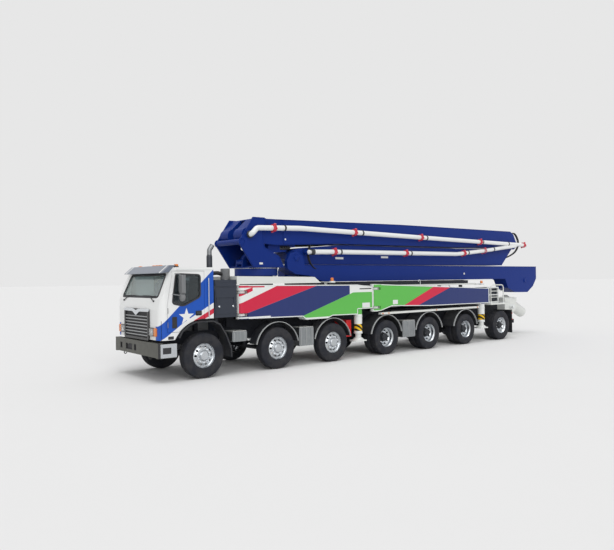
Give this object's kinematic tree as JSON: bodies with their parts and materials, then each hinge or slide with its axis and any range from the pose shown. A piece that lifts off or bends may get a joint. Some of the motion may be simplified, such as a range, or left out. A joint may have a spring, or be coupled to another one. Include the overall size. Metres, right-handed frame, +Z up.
{
  "type": "truck-mounted concrete pump",
  "caption": "Concrete pump truck with a folded placing boom on a slewing turret, swing-out outrigger arms with jack legs, steered front axles and a rear hopper.",
  "frame": {"origin": "bottom centre of the whole truck's bounding box, on the ground", "axes": "+Y from the cab towards the rear, +X the truck's left side, +Z up"},
  "size_m": [2.954, 17.04, 4.08],
  "materials": {
    "boom_blue": "gloss paint",
    "body_white": "gloss paint",
    "panel_paint": "gloss paint with stripes",
    "chassis_black": "satin paint",
    "pipe_white": "gloss paint",
    "coupling_red": "gloss paint",
    "bright": "polished",
    "polished": "polished",
    "steel": "brushed",
    "engine_iron": "rough",
    "tyre": "matt rubber",
    "black_plastic": "matt",
    "trim": "matt",
    "lamp": "clear gloss",
    "visor_grey": "gloss",
    "glass": "clear"
  },
  "bodies": {
    "chassis": {"air_and_exhaust": "steel", "axles_and_springs": "chassis_black", "cab_glass": "glass", "cab_interior": "trim", "cab_lamps": "lamp", "cab_shell": "body_white", "chassis_frame": "chassis_black", "deck": "body_white", "engine_block": "engine_iron", "front_bumper": "bright", "grille": "bright", "hopper": "body_white", "mudguards": "black_plastic", "pump_unit": "body_white", "side_cabinets": "chassis_black", "side_tanks": "polished", "subframe": "chassis_black", "sun_visor": "visor_grey"},
    "wheel_1_left": {"wheel_1_left": "tyre"},
    "wheel_2_left": {"wheel_2_left": "tyre"},
    "wheel_3_left": {"wheel_3_left": "tyre"},
    "wheel_4_left": {"wheel_4_left": "tyre"},
    "wheel_5_left": {"wheel_5_left": "tyre"},
    "wheel_6_left": {"wheel_6_left": "tyre"},
    "wheel_7_left": {"wheel_7_left": "tyre"},
    "knuckle_1_left": {"knuckle_1_left": "chassis_black"},
    "knuckle_2_left": {"knuckle_2_left": "chassis_black"},
    "front_arm_left": {"front_arm_left": "panel_paint"},
    "front_leg_left": {"front_leg_left": "steel"},
    "rear_arm_left": {"rear_arm_left": "panel_paint"},
    "rear_leg_left": {"rear_leg_left": "steel"},
    "door_left": {"door_left": "body_white", "door_glass_left": "glass"},
    "cabinet_door_left": {"cabinet_door_left": "chassis_black"},
    "wheel_1_right": {"wheel_1_right": "tyre"},
    "wheel_2_right": {"wheel_2_right": "tyre"},
    "wheel_3_right": {"wheel_3_right": "tyre"},
    "wheel_4_right": {"wheel_4_right": "tyre"},
    "wheel_5_right": {"wheel_5_right": "tyre"},
    "wheel_6_right": {"wheel_6_right": "tyre"},
    "wheel_7_right": {"wheel_7_right": "tyre"},
    "knuckle_1_right": {"knuckle_1_right": "chassis_black"},
    "knuckle_2_right": {"knuckle_2_right": "chassis_black"},
    "front_arm_right": {"front_arm_right": "panel_paint"},
    "front_leg_right": {"front_leg_right": "steel"},
    "rear_arm_right": {"rear_arm_right": "panel_paint"},
    "rear_leg_right": {"rear_leg_right": "steel"},
    "door_right": {"door_right": "body_white", "door_glass_right": "glass"},
    "cabinet_door_right": {"cabinet_door_right": "chassis_black"},
    "turret": {"turret": "boom_blue"},
    "boom": {"boom_section_1": "boom_blue", "boom_section_2": "boom_blue", "boom_section_3": "boom_blue", "boom_section_4": "boom_blue", "boom_section_5": "boom_blue", "boom_pipes": "pipe_white", "pipe_couplings": "coupling_red"},
    "lift_barrel": {"lift_barrel": "boom_blue"},
    "lift_rod": {"lift_rod": "bright"}
  },
  "joints": [
    {"name": "wheel_1_left_spin", "type": "hinge", "parent": "knuckle_1_left", "child": "wheel_1_left", "pos_m": [1.1, -7.36, 0.532], "axis": [1, 0, 0], "continuous": true},
    {"name": "wheel_2_left_spin", "type": "hinge", "parent": "knuckle_2_left", "child": "wheel_2_left", "pos_m": [1.1, -5.219, 0.532], "axis": [1, 0, 0], "continuous": true},
    {"name": "wheel_3_left_spin", "type": "hinge", "parent": "chassis", "child": "wheel_3_left", "pos_m": [1.1, -3.32, 0.532], "axis": [1, 0, 0], "continuous": true},
    {"name": "wheel_4_left_spin", "type": "hinge", "parent": "chassis", "child": "wheel_4_left", "pos_m": [1.1, -1.152, 0.518], "axis": [1, 0, 0], "continuous": true},
    {"name": "wheel_5_left_spin", "type": "hinge", "parent": "chassis", "child": "wheel_5_left", "pos_m": [1.1, 0.833, 0.518], "axis": [1, 0, 0], "continuous": true},
    {"name": "wheel_6_left_spin", "type": "hinge", "parent": "chassis", "child": "wheel_6_left", "pos_m": [1.1, 2.78, 0.518], "axis": [1, 0, 0], "continuous": true},
    {"name": "wheel_7_left_spin", "type": "hinge", "parent": "chassis", "child": "wheel_7_left", "pos_m": [1.1, 4.943, 0.526], "axis": [1, 0, 0], "continuous": true},
    {"name": "steer_1_left", "type": "hinge", "parent": "chassis", "child": "knuckle_1_left", "pos_m": [0.868, -7.36, 0.532], "axis": [0, 0, 1], "range_deg": [-32, 32]},
    {"name": "steer_2_left", "type": "hinge", "parent": "chassis", "child": "knuckle_2_left", "pos_m": [0.868, -5.219, 0.532], "axis": [0, 0, 1], "range_deg": [-20, 20]},
    {"name": "front_arm_left_swing", "type": "hinge", "parent": "chassis", "child": "front_arm_left", "pos_m": [1.115, -6.26, 1.7], "axis": [0, 0, -1], "range_deg": [0, 110]},
    {"name": "front_leg_left_slide", "type": "slide", "parent": "front_arm_left", "child": "front_leg_left", "axis": [0, 0, -1], "range_m": [0, 0.56]},
    {"name": "rear_arm_left_swing", "type": "hinge", "parent": "chassis", "child": "rear_arm_left", "pos_m": [1.115, -1.55, 1.7], "axis": [0, 0, -1], "range_deg": [0, 100]},
    {"name": "rear_leg_left_slide", "type": "slide", "parent": "rear_arm_left", "child": "rear_leg_left", "axis": [0, 0, -1], "range_m": [0, 0.56]},
    {"name": "door_left_hinge", "type": "hinge", "parent": "chassis", "child": "door_left", "pos_m": [1.252, -8.289, 1.8], "axis": [0, 0, -1], "range_deg": [0, 70]},
    {"name": "cabinet_door_left_hinge", "type": "hinge", "parent": "chassis", "child": "cabinet_door_left", "pos_m": [1.244, -7.088, 1.85], "axis": [0, 0, -1], "range_deg": [0, 110]},
    {"name": "wheel_1_right_spin", "type": "hinge", "parent": "knuckle_1_right", "child": "wheel_1_right", "pos_m": [-1.1, -7.36, 0.532], "axis": [1, 0, 0], "continuous": true},
    {"name": "wheel_2_right_spin", "type": "hinge", "parent": "knuckle_2_right", "child": "wheel_2_right", "pos_m": [-1.1, -5.219, 0.532], "axis": [1, 0, 0], "continuous": true},
    {"name": "wheel_3_right_spin", "type": "hinge", "parent": "chassis", "child": "wheel_3_right", "pos_m": [-1.1, -3.32, 0.532], "axis": [1, 0, 0], "continuous": true},
    {"name": "wheel_4_right_spin", "type": "hinge", "parent": "chassis", "child": "wheel_4_right", "pos_m": [-1.1, -1.152, 0.518], "axis": [1, 0, 0], "continuous": true},
    {"name": "wheel_5_right_spin", "type": "hinge", "parent": "chassis", "child": "wheel_5_right", "pos_m": [-1.1, 0.833, 0.518], "axis": [1, 0, 0], "continuous": true},
    {"name": "wheel_6_right_spin", "type": "hinge", "parent": "chassis", "child": "wheel_6_right", "pos_m": [-1.1, 2.78, 0.518], "axis": [1, 0, 0], "continuous": true},
    {"name": "wheel_7_right_spin", "type": "hinge", "parent": "chassis", "child": "wheel_7_right", "pos_m": [-1.1, 4.943, 0.526], "axis": [1, 0, 0], "continuous": true},
    {"name": "steer_1_right", "type": "hinge", "parent": "chassis", "child": "knuckle_1_right", "pos_m": [-0.868, -7.36, 0.532], "axis": [0, 0, 1], "range_deg": [-32, 32]},
    {"name": "steer_2_right", "type": "hinge", "parent": "chassis", "child": "knuckle_2_right", "pos_m": [-0.868, -5.219, 0.532], "axis": [0, 0, 1], "range_deg": [-20, 20]},
    {"name": "front_arm_right_swing", "type": "hinge", "parent": "chassis", "child": "front_arm_right", "pos_m": [-1.115, -6.26, 1.7], "axis": [0, 0, 1], "range_deg": [0, 110]},
    {"name": "front_leg_right_slide", "type": "slide", "parent": "front_arm_right", "child": "front_leg_right", "axis": [0, 0, -1], "range_m": [0, 0.56]},
    {"name": "rear_arm_right_swing", "type": "hinge", "parent": "chassis", "child": "rear_arm_right", "pos_m": [-1.115, -1.55, 1.7], "axis": [0, 0, 1], "range_deg": [0, 100]},
    {"name": "rear_leg_right_slide", "type": "slide", "parent": "rear_arm_right", "child": "rear_leg_right", "axis": [0, 0, -1], "range_m": [0, 0.56]},
    {"name": "door_right_hinge", "type": "hinge", "parent": "chassis", "child": "door_right", "pos_m": [-1.252, -8.289, 1.8], "axis": [0, 0, 1], "range_deg": [0, 70]},
    {"name": "cabinet_door_right_hinge", "type": "hinge", "parent": "chassis", "child": "cabinet_door_right", "pos_m": [-1.244, -7.088, 1.85], "axis": [0, 0, 1], "range_deg": [0, 110]},
    {"name": "boom_lift", "type": "hinge", "parent": "turret", "child": "boom", "pos_m": [0, -5.66, 3.48], "axis": [1, 0, 0], "range_deg": [0, 85]},
    {"name": "turret_slew", "type": "hinge", "parent": "chassis", "child": "turret", "pos_m": [0, -5.04, 2.6], "axis": [0, 0, 1], "range_deg": [0, 370]},
    {"name": "lift_barrel_tilt", "type": "hinge", "parent": "turret", "child": "lift_barrel", "pos_m": [0, -5.51, 2.765], "axis": [1, 0, 0], "range_deg": [0, 60]},
    {"name": "lift_rod_slide", "type": "slide", "parent": "lift_barrel", "child": "lift_rod", "axis": [0, 0.7082, 0.706], "range_m": [0, 0.65]}
  ],
  "couplings": [
    {"joint": "steer_1_right", "follows": "steer_1_left", "ratio": 1},
    {"joint": "steer_2_left", "follows": "steer_1_left", "ratio": 0.62},
    {"joint": "steer_2_right", "follows": "steer_1_left", "ratio": 0.62},
    {"joint": "turret_slew", "follows": "boom_lift", "ratio": 4.35},
    {"joint": "lift_barrel_tilt", "follows": "boom_lift", "ratio": 0.5353},
    {"joint": "lift_rod_slide", "follows": "boom_lift", "m_per_rad": 0.39724}
  ]
}
